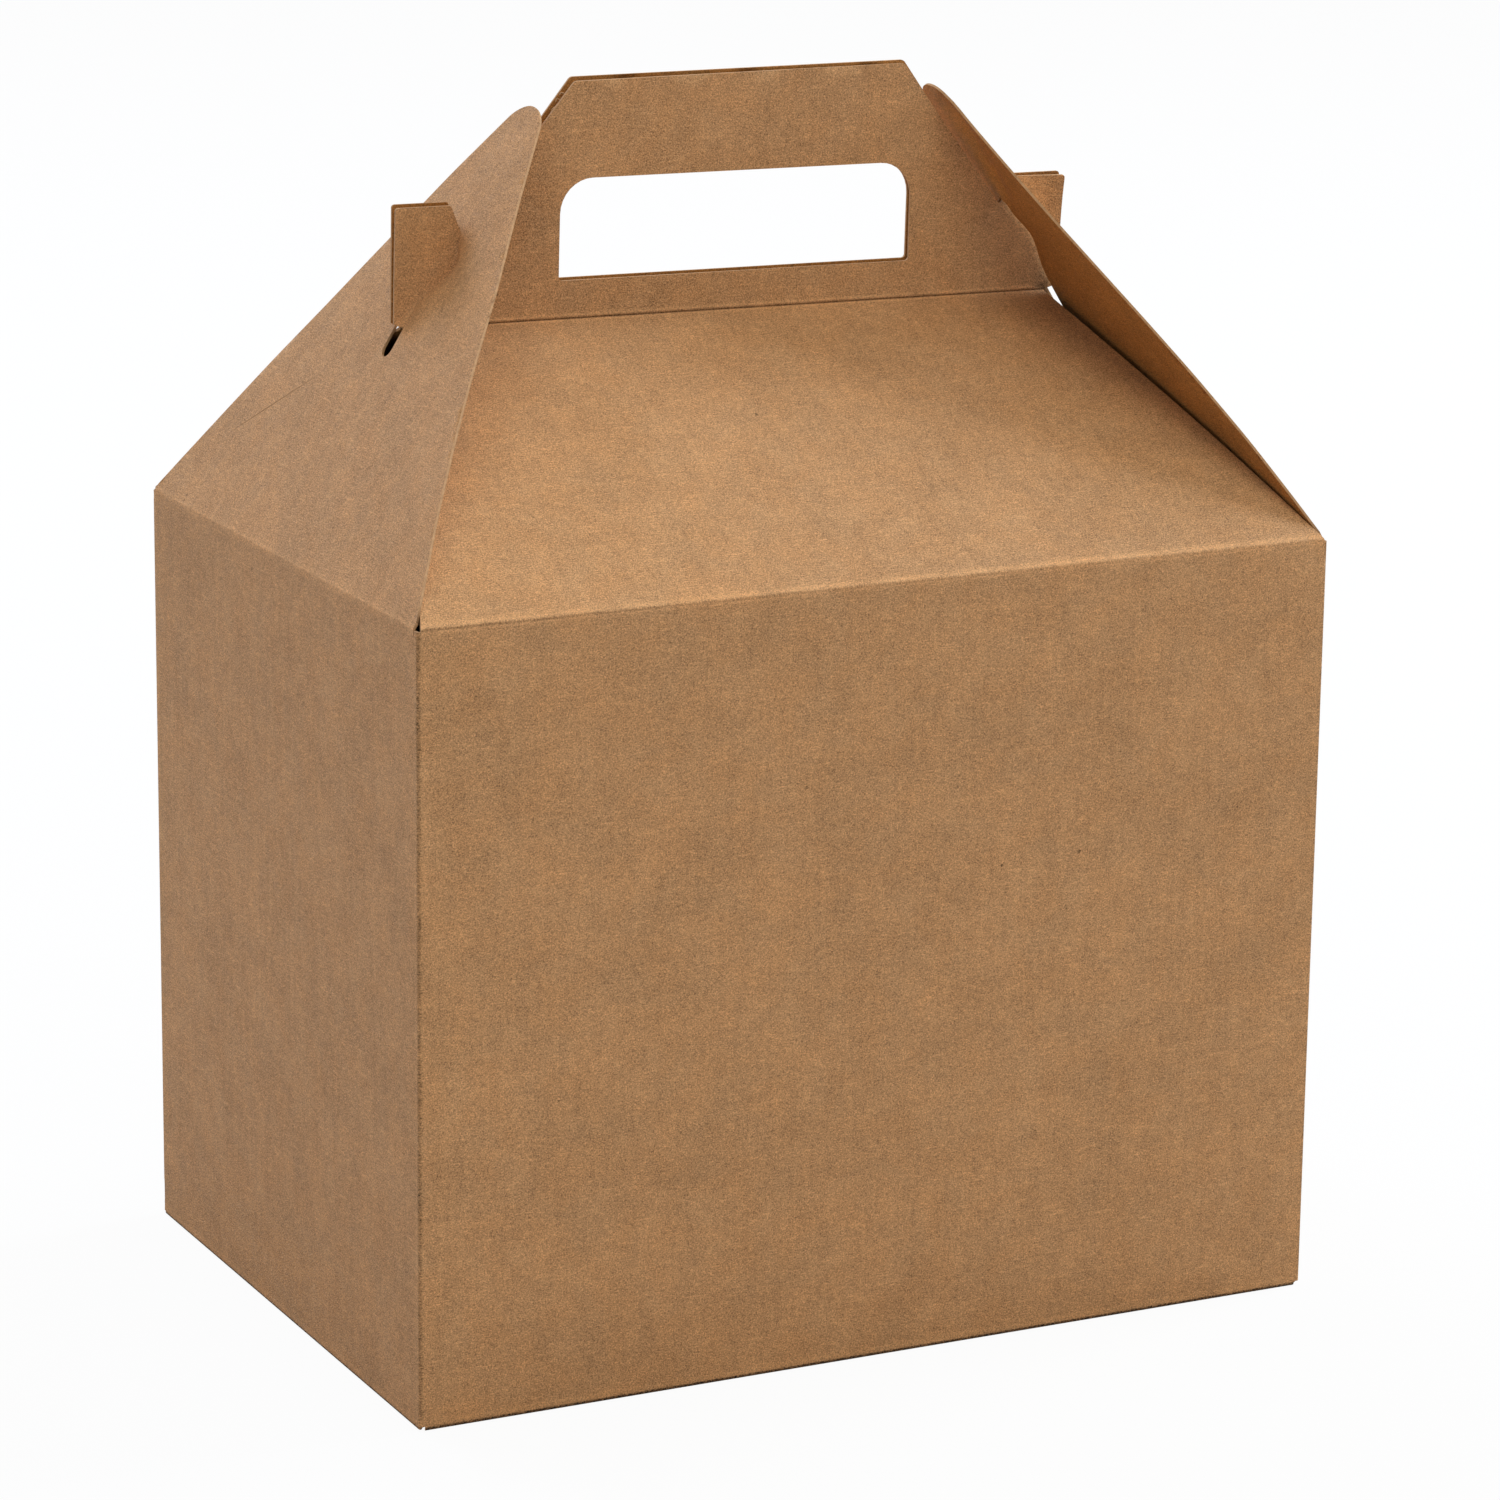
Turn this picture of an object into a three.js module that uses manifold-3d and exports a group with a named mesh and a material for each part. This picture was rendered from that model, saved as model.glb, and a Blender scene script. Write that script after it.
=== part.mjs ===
// Gable box: one die-cut sheet of kraft board, folded into a carton with a sloping roof and a carrying handle.
// Lengths are millimetres, +Z is up, the front wall faces -Y, and the origin lies under the middle of the box.

import * as THREE from 'three';
import { mergeVertices } from 'three/addons/utils/BufferGeometryUtils.js';
import { TessellateModifier } from 'three/addons/modifiers/TessellateModifier.js';
import Module from 'manifold-3d';

const wasm = await Module();
wasm.setup();

// Board
const board = 0.8;             // thickness of the sheet
const foldRadius = 0.4;        // inside radius of a fold
const cornerRadius = 1.2;      // outside radius of an upright corner
const fit = 0.3;               // clearance between a flap and what it lies on
const layerGap = 0.1;          // air between two bottom flaps that lie on each other

// Walls
const width = 254;
const depth = 179;
const wallHeight = 203;
const reliefWidth = 1.6;       // slit that frees a roof panel from the end flap at each corner
const reliefHeight = 2.2;
const lapWidth = 18;           // glued lap inside the back wall
const lapSetback = 7;          // slope at each end of the lap

// Roof and handle, all heights of the handle counted from its crease
const roofRise = 54;
const creaseWidth = 185.6;
const handleHeight = 62.5;
const frontDrop = 0.7;         // the front handle panel ends this much lower than the back one
const handleTopWidth = 94.5;
const handleTopRadius = 1.6;
const handleGap = 1.2;         // air between the front and the back handle panel

// Hook at each end of a handle panel
const notchSpan = 154.6;       // from notch to notch
const notchHeight = 23;
const hookHeight = 31.8;
const hookInnerSpan = 160.8;
const hookOuterSpan = 191;
const hookRadius = 0.8;

// Hand hole
const holeWidth = 100.5;
const holeHeight = 26.5;
const holeSill = 9.5;          // crease to the lower edge of the hole
const holeTopRadius = 9;
const holeBottomRadius = 1;

// End flaps, lengths counted up the slope from the fold
const flapBaseWidth = 176;
const flapLength = 130;
const flapTipRadius = 10;
const slotStart = 58;
const slotWidth = 4;
const slotClearance = 0.7;     // room past the hook when the flap swings over it
const leftBow = 2.8;           // how far the front edge of a flap bows outward
const rightBow = 3.8;
const bowStep = 30;            // longest facet edge of a bowed flap

// Bottom flaps that lock into each other
const flapRamp = 4;            // run over which a bottom flap climbs to its layer
const bottomInset = 6;         // bottom flap to the neighbouring wall
const tongueWidth = 100;
const tongueLength = 30;
const tongueRamp = 10;
const tongueTaper = 6;
const recessClearance = 4;
const recessDepth = 8;         // edge of the back flap's recess, behind the middle
const legLength = 34;          // back flap's legs, in front of the middle
const legTaper = 12;
const dustFlapLength = 70;
const dustFlapSlant = 26;
const outlineRadius = 3;

const halfWidth = width / 2;
const halfDepth = depth / 2;
const creaseHeight = wallHeight + roofRise;
const handleTop = creaseHeight + handleHeight;

// The flap lies on the sloping roof edges, one board and one clearance outside the crease's end.
const inset = halfWidth - creaseWidth / 2;
const flapSeat = board + fit;
const lean = Math.atan2(roofRise, inset) + Math.asin(flapSeat / Math.hypot(inset, roofRise));
const roofFoot = halfWidth - flapSeat / Math.sin(lean);
const hookReach = Math.hypot(halfWidth - hookInnerSpan / 2, creaseHeight + hookHeight - wallHeight);
const slotEnd = hookReach + slotClearance;

// Shape through corners given as [x, y, radius].
function roundedShape(corners) {
  const shape = new THREE.Shape();
  corners.forEach(([x, y, radius = 0], i) => {
    if (radius === 0) {
      if (i === 0) shape.moveTo(x, y);
      else shape.lineTo(x, y);
      return;
    }
    const here = new THREE.Vector2(x, y);
    const back = new THREE.Vector2(...corners.at(i - 1)).sub(here).normalize();
    const ahead = new THREE.Vector2(...corners[(i + 1) % corners.length]).sub(here).normalize();
    const halfAngle = Math.acos(back.dot(ahead)) / 2;
    const setback = radius / Math.tan(halfAngle);
    const centre = back.clone().add(ahead).setLength(radius / Math.sin(halfAngle)).add(here);
    const start = here.clone().addScaledVector(back, setback);
    const end = here.clone().addScaledVector(ahead, setback);
    if (i > 0) shape.lineTo(start.x, start.y);
    shape.absarc(
      centre.x, centre.y, radius, start.sub(centre).angle(), end.sub(centre).angle(), back.cross(ahead) > 0);
  });
  return shape;
}

// Corners on both sides of the middle, from those on the +X side listed upward.
function mirrored(corners) {
  const other = corners.map(([x, y, radius]) => [-x, y, radius]).reverse();
  return [...corners, ...other];
}

// Section of the board along a path of straight runs, with a round fold at each inner point.
function boardSection(path) {
  const points = path.map(([x, y]) => new THREE.Vector2(x, y));
  const side = (sign) => points.map((point, i) => {
    const before = point.clone().sub(points[Math.max(i - 1, 0)]);
    const after = points[Math.min(i + 1, points.length - 1)].clone().sub(point);
    const arrive = (i === 0 ? after : before).clone().normalize();
    const leave = (i === points.length - 1 ? before : after).clone().normalize();
    const normalIn = new THREE.Vector2(-arrive.y, arrive.x);
    const normalOut = new THREE.Vector2(-leave.y, leave.x);
    const stretch = sign * board / 2 / (1 + normalIn.dot(normalOut));
    const corner = normalIn.add(normalOut).multiplyScalar(stretch).add(point);
    const turn = arrive.cross(leave) * sign;
    if (turn === 0) return [corner.x, corner.y, 0];
    return [corner.x, corner.y, turn > 0 ? foldRadius : foldRadius + board];
  });
  return roundedShape([...side(1), ...side(-1).reverse()]);
}

function toSolid(geometry) {
  geometry.deleteAttribute('normal');
  geometry.deleteAttribute('uv');
  const merged = mergeVertices(geometry);
  const mesh = new wasm.Mesh({
    numProp: 3,
    vertProperties: new Float32Array(merged.attributes.position.array),
    triVerts: new Uint32Array(merged.index.array),
  });
  return new wasm.Manifold(mesh);
}

function toGeometry(solid) {
  const mesh = solid.getMesh();
  const geometry = new THREE.BufferGeometry();
  geometry.setAttribute('position', new THREE.BufferAttribute(mesh.vertProperties, 3));
  geometry.setIndex(new THREE.BufferAttribute(mesh.triVerts, 1));
  geometry.computeVertexNormals();
  return geometry;
}

function extrude(shape, from, to, curveSegments = 5) {
  const geometry = new THREE.ExtrudeGeometry(shape, { depth: to - from, bevelEnabled: false, curveSegments });
  return geometry.translate(0, 0, from);
}

// A shape in the YZ plane, extruded along X.
function alongX(shape, from, to) {
  const turn = new THREE.Matrix4().makeBasis(
    new THREE.Vector3(0, 1, 0), new THREE.Vector3(0, 0, 1), new THREE.Vector3(1, 0, 0));
  return toSolid(extrude(shape, from, to).applyMatrix4(turn));
}

// A shape in the XZ plane, extruded along Y.
function alongY(shape, from, to) {
  return toSolid(extrude(shape, -to, -from, 8).rotateX(Math.PI / 2));
}

// A shape in the XY plane, extruded along Z.
function alongZ(shape, from, to) {
  return toSolid(extrude(shape, from, to));
}

function turnedAround(solid) {
  return solid.rotate([0, 0, 180]);
}

function rectangle(halfX, halfY, radius) {
  return [[halfX, -halfY, radius], [halfX, halfY, radius], [-halfX, halfY, radius], [-halfX, -halfY, radius]];
}

// Height of the board's middle plane in a bottom layer, counted from the outermost.
const layerHeight = (layer) => board / 2 + layer * (board + layerGap);
const wallMiddleX = halfWidth - board / 2;
const wallMiddleY = halfDepth - board / 2;
const overlap = 8;             // length of wall that each folded panel shares with the tube
const clear = 2 * overlap;     // how far a cutting solid reaches past what it cuts

// Four walls, open at top and bottom, with the side walls mitred where the end flaps hinge.
function wallTube() {
  const ring = roundedShape(rectangle(halfWidth, halfDepth, cornerRadius));
  ring.holes.push(roundedShape(rectangle(halfWidth - board, halfDepth - board, cornerRadius - board)));
  const tube = alongZ(ring, foldRadius + board, wallHeight - foldRadius);
  const edgeX = halfWidth + fit * Math.cos(lean);
  const edgeZ = wallHeight - fit * Math.sin(lean);
  const mitre = roundedShape([
    [edgeX + clear * Math.sin(lean), edgeZ + clear * Math.cos(lean)],
    [edgeX + clear * Math.sin(lean), edgeZ + clear],
    [roofFoot, edgeZ + clear],
    [roofFoot, edgeZ - (edgeX - roofFoot) / Math.tan(lean)],
  ]);
  const cutter = alongY(mitre, -halfDepth - clear, halfDepth + clear);
  return tube.subtract(cutter).subtract(turnedAround(cutter));
}

// Slits at the four corners of the walls, which let the roof panels and the flaps fold apart.
function cornerReliefs() {
  const slit = roundedShape([
    [halfWidth - reliefWidth, -halfDepth - clear],
    [halfWidth + clear, -halfDepth - clear],
    [halfWidth + clear, -halfDepth + cornerRadius],
    [halfWidth - reliefWidth, -halfDepth + cornerRadius],
  ]);
  const front = alongZ(slit, wallHeight - reliefHeight, wallHeight + clear);
  const pair = front.add(front.mirror([1, 0, 0]));
  return pair.add(turnedAround(pair));
}

// Outline of a roof panel and its handle panel, seen from the front.
function roofAndHandleOutline(top) {
  return roundedShape(mirrored([
    [roofFoot, wallHeight - overlap],
    [roofFoot, wallHeight],
    [creaseWidth / 2, creaseHeight],
    [hookOuterSpan / 2, creaseHeight + hookHeight, hookRadius],
    [hookInnerSpan / 2, creaseHeight + hookHeight, hookRadius],
    [notchSpan / 2, creaseHeight + notchHeight, hookRadius],
    [handleTopWidth / 2, top, handleTopRadius],
  ]));
}

function handHole() {
  const sill = creaseHeight + holeSill;
  return roundedShape(mirrored([
    [holeWidth / 2, sill, holeBottomRadius],
    [holeWidth / 2, sill + holeHeight, holeTopRadius],
  ]));
}

// Front roof panel with a handle panel of a given top standing on it.
function roofAndHandle(top) {
  const handleMiddle = (handleGap + board) / 2;
  const section = boardSection([
    [-wallMiddleY, wallHeight - overlap],
    [-wallMiddleY, wallHeight],
    [-handleMiddle, creaseHeight],
    [-handleMiddle, top],
  ]);
  const outline = alongY(roofAndHandleOutline(top), -halfDepth - clear, halfDepth + clear);
  const hole = alongY(handHole(), -clear, clear);
  return alongX(section, -halfWidth, halfWidth).intersect(outline).subtract(hole);
}

// Front bottom flap, the outermost one, with a tongue that passes up into the box.
function tongueFlap() {
  const edge = -tongueRamp / 2;
  const tip = edge + tongueRamp + tongueLength;
  const section = boardSection([
    [-wallMiddleY, overlap],
    [-wallMiddleY, layerHeight(0)],
    [edge, layerHeight(0)],
    [edge + tongueRamp, layerHeight(3)],
    [tip, layerHeight(3)],
  ]);
  const side = halfWidth - bottomInset;
  const outline = mirrored([
    [side, -halfDepth - clear],
    [side, edge - dustFlapSlant, outlineRadius],
    [tongueWidth / 2 + tongueTaper, edge - board, outlineRadius],
    [tongueWidth / 2, edge, 0],
    [tongueWidth / 2 - tongueTaper, tip, 3 * outlineRadius],
  ]);
  const cutter = alongZ(roundedShape(outline), -clear, overlap + clear);
  return alongX(section, -halfWidth, halfWidth).intersect(cutter);
}

// Back bottom flap, inside the dust flaps, with two legs beside the recess that takes the tongue.
function recessFlap() {
  const section = boardSection([
    [wallMiddleY, overlap],
    [wallMiddleY, layerHeight(0)],
    [wallMiddleY - flapRamp, layerHeight(2)],
    [-legLength, layerHeight(2)],
  ]);
  const side = halfWidth - bottomInset;
  const recess = tongueWidth / 2 + recessClearance;
  const outline = [
    [side, halfDepth + clear],
    [-side, halfDepth + clear],
    [-side, recessDepth],
    [legTaper - side, -legLength, outlineRadius],
    [-recess - legTaper, -legLength, outlineRadius],
    [-recess, recessDepth, outlineRadius],
    [recess, recessDepth, outlineRadius],
    [recess + legTaper, -legLength, outlineRadius],
    [side - legTaper, -legLength, outlineRadius],
    [side, recessDepth],
  ];
  const cutter = alongZ(roundedShape(outline), -clear, overlap + clear);
  return alongX(section, -halfWidth, halfWidth).intersect(cutter);
}

// Bottom dust flap of the right wall, between the other two layers.
function dustFlap() {
  const section = boardSection([
    [wallMiddleX, overlap],
    [wallMiddleX, layerHeight(0)],
    [wallMiddleX - flapRamp, layerHeight(1)],
    [halfWidth - dustFlapLength, layerHeight(1)],
  ]);
  const tip = halfWidth - dustFlapLength;
  const foot = halfDepth - bottomInset;
  const outline = [
    [halfWidth + clear, -foot],
    [halfWidth + clear, foot],
    [halfWidth - flapRamp, foot],
    [tip, foot - dustFlapSlant, outlineRadius],
    [tip, foot - dustFlapLength - 2 * dustFlapSlant, outlineRadius],
    [halfWidth - flapRamp, -foot],
  ];
  const cutter = alongZ(roundedShape(outline), -clear, overlap + clear);
  return alongY(section, -halfDepth, halfDepth).intersect(cutter);
}

// Glued lap that closes the tube, inside the back wall at the left corner.
function gluedLap() {
  const corner = board - halfWidth;
  const outline = roundedShape([
    [corner, overlap],
    [corner + lapWidth, overlap + lapSetback],
    [corner + lapWidth, wallHeight - overlap - lapSetback],
    [corner, wallHeight - overlap],
  ]);
  return alongY(outline, halfDepth - 2 * board, halfDepth - board);
}

function boxBody() {
  const dust = dustFlap();
  const panels = [
    roofAndHandle(handleTop - frontDrop),
    turnedAround(roofAndHandle(handleTop)),
    tongueFlap(),
    recessFlap(),
    dust,
    dust.mirror([1, 0, 0]),
    gluedLap(),
  ];
  const joined = panels.reduce((sum, panel) => sum.add(panel), wallTube());
  return toGeometry(joined.subtract(cornerReliefs()));
}

// Half the width of an end flap at a distance up its slope, up to where the round tip starts.
const tipCentre = flapLength - flapTipRadius;
const tipDistance = Math.hypot(tipCentre, flapBaseWidth / 2);
const flapTaper = Math.atan2(flapBaseWidth / 2, tipCentre) - Math.asin(flapTipRadius / tipDistance);
const halfFlapWidth = (up) => flapBaseWidth / 2 - up * Math.tan(flapTaper);

// End flap in its own frame: X up the slope, Z out of the box, the front edge on the side of frontSign.
function endFlap(bow, frontSign) {
  const outline = new THREE.Shape();
  outline.absarc(tipCentre, 0, flapTipRadius, flapTaper - Math.PI / 2, Math.PI / 2 - flapTaper, false);
  outline.lineTo(0, flapBaseWidth / 2);
  outline.lineTo(0, -flapBaseWidth / 2);
  const slotRadius = slotWidth / 2;
  const slot = new THREE.Path();
  slot.absarc(slotStart + slotRadius, 0, slotRadius, Math.PI / 2, 3 * Math.PI / 2, false);
  slot.absarc(slotEnd - slotRadius, 0, slotRadius, -Math.PI / 2, Math.PI / 2, false);
  outline.holes.push(slot);
  const flat = extrude(outline, -board, 0, 12);
  const geometry = new TessellateModifier(bowStep, 30).modify(flat);
  const position = geometry.attributes.position;
  for (let i = 0; i < position.count; i += 1) {
    const up = position.getX(i);
    const toFront = THREE.MathUtils.clamp(frontSign * position.getY(i) / halfFlapWidth(up), 0, 1);
    const lift = bow * Math.sin(Math.PI * up / flapLength) * toFront ** 2;
    position.setZ(i, position.getZ(i) + lift);
  }
  geometry.deleteAttribute('normal');
  geometry.deleteAttribute('uv');
  const merged = mergeVertices(geometry);
  merged.computeVertexNormals();
  return merged;
}

function kraft(color) {
  return new THREE.MeshStandardMaterial({ color, roughness: 0.9, metalness: 0 });
}

function flapMesh(name, bow, frontSign, color) {
  const mesh = new THREE.Mesh(endFlap(bow, frontSign), kraft(color));
  mesh.name = name;
  mesh.position.set(-halfWidth, 0, wallHeight);
  mesh.rotation.y = -lean;
  return mesh;
}

const body = new THREE.Mesh(boxBody(), kraft('#a47d57'));
body.name = 'body';

// The right flap is the left one turned half round, so its front edge is on the other side of its frame.
const rightSide = new THREE.Group();
rightSide.rotation.z = Math.PI;
rightSide.add(flapMesh('right_end_flap', rightBow, 1, '#9c7650'));

const gableBox = new THREE.Group();
gableBox.add(body);
gableBox.add(flapMesh('left_end_flap', leftBow, -1, '#ac8763'));
gableBox.add(rightSide);

export default gableBox;
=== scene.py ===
import math

import bpy
import numpy as np
from mathutils import Matrix, Vector
from mathutils.geometry import delaunay_2d_cdt


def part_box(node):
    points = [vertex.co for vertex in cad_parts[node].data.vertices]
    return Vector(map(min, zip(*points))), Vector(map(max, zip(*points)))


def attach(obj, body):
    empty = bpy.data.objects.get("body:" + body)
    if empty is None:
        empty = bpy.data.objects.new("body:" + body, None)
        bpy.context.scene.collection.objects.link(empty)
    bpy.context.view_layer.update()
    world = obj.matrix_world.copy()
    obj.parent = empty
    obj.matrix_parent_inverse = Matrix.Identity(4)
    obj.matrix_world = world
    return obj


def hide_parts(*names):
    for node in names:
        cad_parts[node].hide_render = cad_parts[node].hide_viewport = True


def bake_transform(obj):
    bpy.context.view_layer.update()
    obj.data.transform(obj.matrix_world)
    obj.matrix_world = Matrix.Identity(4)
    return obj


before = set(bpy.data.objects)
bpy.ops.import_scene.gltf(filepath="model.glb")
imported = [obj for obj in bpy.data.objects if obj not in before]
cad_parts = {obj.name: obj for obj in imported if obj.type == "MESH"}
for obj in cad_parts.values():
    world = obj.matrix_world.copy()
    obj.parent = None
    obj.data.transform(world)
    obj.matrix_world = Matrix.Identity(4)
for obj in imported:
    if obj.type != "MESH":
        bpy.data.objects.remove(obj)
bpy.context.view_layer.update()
print("frame loaded")

# Everything below is worked out in millimetres and written to the meshes in metres.
mm = 0.001

carton = {
    "halfWidth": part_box("body")[1].x / mm,
    "halfDepth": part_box("body")[1].y / mm,
    "wallHeight": 203.0,
    "board": 0.65,
    "foldRadius": 0.5,          # radius of a fold, at the middle of the board
    "roofRise": 54.0,
    "creaseWidth": 185.6,
    "creaseTrim": 2.0,          # the roof is cut back this much more at the crease's right end
    "roofFootWidth": 252.0,
    "handleGap": 1.2,
    "backTop": (61.6, 62.6),    # height of a handle panel's top edge at its left and right end
    "frontTop": (60.8, 61.8),
    "handleTopWidth": 94.5,
    "notchSpan": 154.6,
    "notchHeight": 23.0,
    "backHookHeight": 31.3,
    "frontHookHeight": 30.7,
    "hookInnerSpan": 160.8,
    "hookOuterSpan": 191.0,
    "hookFoot": 1.4,            # height of a hook's lower outer corner
    "hookFootRadius": 0.3,
    "hookRadius": 0.8,
    "handleRadius": 1.6,
    "holeWidth": 100.5,
    "holeHeight": 26.1,
    "backSill": 10.4,
    "frontSill": 9.9,
    "holeTopRadius": 9.0,
    "holeBottomRadius": 1.0,
    "reliefHeight": 0.4,        # the slits at the corners start this far below the fold
    "slitWidth": 0.6,           # from a side wall's edge to the corner
    "postGap": 0.15,            # between a side wall's post and the crease strip of an end flap
    "creaseStrip": 1.8,         # height of the wall that the crease strip of an end flap takes over
    "footCut": 0.4,             # the blank's lower cuts end this far above the bottom fold
    "step": 5.0,                # longest edge of a triangle
}
creaseHeight = carton["wallHeight"] + carton["roofRise"]
middleX = carton["halfWidth"] - carton["board"] / 2
middleY = carton["halfDepth"] - carton["board"] / 2
handleMiddle = (carton["handleGap"] + carton["board"]) / 2

scene = bpy.context.scene
scene.view_settings.view_transform = "Standard"


# Camera, fitted to the corners of the box in the photograph

view = {
    "azimuth": -26.58,
    "elevation": 14.62,
    "roll": 0.70,
    "distance": 1505.7,
    "across": 7.42,
    "above": 134.57,
    "lens": 133.74,
}


def makeCamera():
    turn, rise, roll = (math.radians(view[key]) for key in ("azimuth", "elevation", "roll"))
    back = Vector((math.sin(turn) * math.cos(rise), -math.cos(turn) * math.cos(rise), math.sin(rise)))
    levelRight = (-back).cross(Vector((0, 0, 1))).normalized()
    levelUp = levelRight.cross(-back)
    right = math.cos(roll) * levelRight + math.sin(roll) * levelUp
    up = -math.sin(roll) * levelRight + math.cos(roll) * levelUp
    place = (back * view["distance"] + right * view["across"] + up * view["above"]) * mm
    data = bpy.data.cameras.new("camera")
    data.lens = view["lens"]
    data.sensor_width = 36.0
    data.clip_start = 0.1
    data.clip_end = 50.0
    camera = bpy.data.objects.new("camera", data)
    camera.matrix_world = Matrix((
        (right.x, up.x, back.x, place.x),
        (right.y, up.y, back.y, place.y),
        (right.z, up.z, back.z, place.z),
        (0, 0, 0, 1)))
    scene.collection.objects.link(camera)
    scene.camera = camera


makeCamera()
print("camera set")


# Lines and outlines, as arrays of flat points

def unit(vector):
    return vector / np.linalg.norm(vector)


def roundCorner(before, corner, after, radius, steps):
    back, ahead = unit(before - corner), unit(after - corner)
    half = math.acos(float(np.clip(back @ ahead, -1, 1))) / 2
    centre = corner + unit(back + ahead) * radius / math.sin(half)
    start = corner + back * radius / math.tan(half) - centre
    turn = math.copysign(math.pi - 2 * half, float(back[1] * ahead[0] - back[0] * ahead[1]))
    angles = turn * np.arange(steps + 1) / steps
    cos, sin = np.cos(angles), np.sin(angles)
    return centre + np.stack([start[0] * cos - start[1] * sin, start[0] * sin + start[1] * cos], 1)


def foldedLine(points, radius, steps=6):   # a line of straight runs with round folds
    points = np.array(points, float)
    places, folds = [points[0]], []
    for before, corner, after in zip(points, points[1:], points[2:]):
        arc = roundCorner(before, corner, after, radius, steps)
        folds.append((len(places), len(places) + steps))
        places.extend(arc)
    places.append(points[-1])
    places = np.array(places)
    lengths = np.concatenate([[0], np.cumsum(np.linalg.norm(np.diff(places, axis=0), axis=1))])
    spare = 5.0   # the line runs on straight past both ends
    before = places[0] + unit(places[0] - places[1]) * spare
    after = places[-1] + unit(places[-1] - places[-2]) * spare
    return {
        "length": np.concatenate([[-spare], lengths, [lengths[-1] + spare]]),
        "at": np.concatenate([[before], places, [after]]),
        "folds": [lengths[a:b + 1] for a, b in folds],
        "end": float(lengths[-1]),
    }


def along(line, length):
    return (np.interp(length, line["length"], line["at"][:, 0]),
            np.interp(length, line["length"], line["at"][:, 1]))


def roundedOutline(corners, steps=6):   # corners as (x, y, radius)
    outline = []
    for i, (x, y, radius) in enumerate(corners):
        here = np.array([x, y], float)
        if radius == 0:
            outline.append(here)
            continue
        before = np.array(corners[i - 1][:2], float)
        after = np.array(corners[(i + 1) % len(corners)][:2], float)
        outline.extend(roundCorner(before, here, after, radius, steps))
    return np.array(outline)


def mirrored(corners):
    return corners + [(-x, y, radius) for x, y, radius in reversed(corners)]


def splitEdges(outline, longest, columns, rows):   # adds points, also where the outline crosses a fold
    result = []
    for start, end in zip(outline, np.roll(outline, -1, axis=0)):
        shares = list(np.linspace(0, 1, max(1, math.ceil(np.linalg.norm(end - start) / longest)) + 1)[:-1])
        for axis, values in ((0, columns), (1, rows)):
            span = end[axis] - start[axis]
            if abs(span) > 1e-6:
                shares += [s for s in (np.array(values) - start[axis]) / span if 1e-4 < s < 1 - 1e-4]
        shares = np.sort(shares)
        keep = np.concatenate([[True], np.diff(shares) * np.linalg.norm(end - start) > 0.02])
        result.extend(start + (end - start) * s for s in shares[keep])
    return np.array(result)


def inside(points, outline):
    x, y = points[:, :1], points[:, 1:]
    x0, y0 = outline[:, 0], outline[:, 1]
    x1, y1 = np.roll(x0, -1), np.roll(y0, -1)
    crosses = (y0 > y) != (y1 > y)
    with np.errstate(divide="ignore", invalid="ignore"):
        at = x0 + (y - y0) * (x1 - x0) / (y1 - y0)
    return (crosses & (x < at)).sum(1) % 2 == 1


def edgeDistance(points, outline, step=1.0):   # distance to the nearest of many points on the outline
    dense = splitEdges(outline, step, [], [])
    distance = np.full(len(points), 1e9)
    for chunk in np.array_split(dense, max(1, len(dense) // 200)):
        gap = np.linalg.norm(points[:, None] - chunk[None], axis=2).min(1)
        distance = np.minimum(distance, gap)
    return distance


def flatMesh(outlines, step, columns=(), rows=()):   # triangles of a flat sheet, the first outline outside
    split = [splitEdges(outline, step, columns, rows) for outline in outlines]
    low, high = outlines[0].min(0), outlines[0].max(0)

    def lines(axis, folds):
        even = np.linspace(low[axis], high[axis], max(2, round((high[axis] - low[axis]) / step) + 1))[1:-1]
        folds = np.array([f for f in folds if low[axis] < f < high[axis]])
        if len(folds):
            even = even[np.abs(even[:, None] - folds[None]).min(1) > step * 0.35]
        return np.sort(np.concatenate([even, folds]))

    grid = np.stack(np.meshgrid(lines(0, columns), lines(1, rows)), -1).reshape(-1, 2)
    within = inside(grid, outlines[0])
    for hole in outlines[1:]:
        within &= ~inside(grid, hole)
    grid = grid[within]
    clear = np.full(len(grid), True)
    for outline in outlines:
        clear &= edgeDistance(grid, outline) > 0.35
    grid = grid[clear]
    points = np.concatenate([*split, grid])
    edges, first = [], 0
    for outline in split:
        count = len(outline)
        edges += [(first + i, first + (i + 1) % count) for i in range(count)]
        first += count
    made = delaunay_2d_cdt([Vector(p) for p in points], edges, [], 0, 1e-5)
    points = np.array([tuple(p) for p in made[0]])
    faces = np.array([list(f) for f in made[2]])
    middle = points[faces].mean(1)
    keep = inside(middle, outlines[0])
    for hole in outlines[1:]:
        keep &= ~inside(middle, hole)
    return points, faces[keep]


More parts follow.
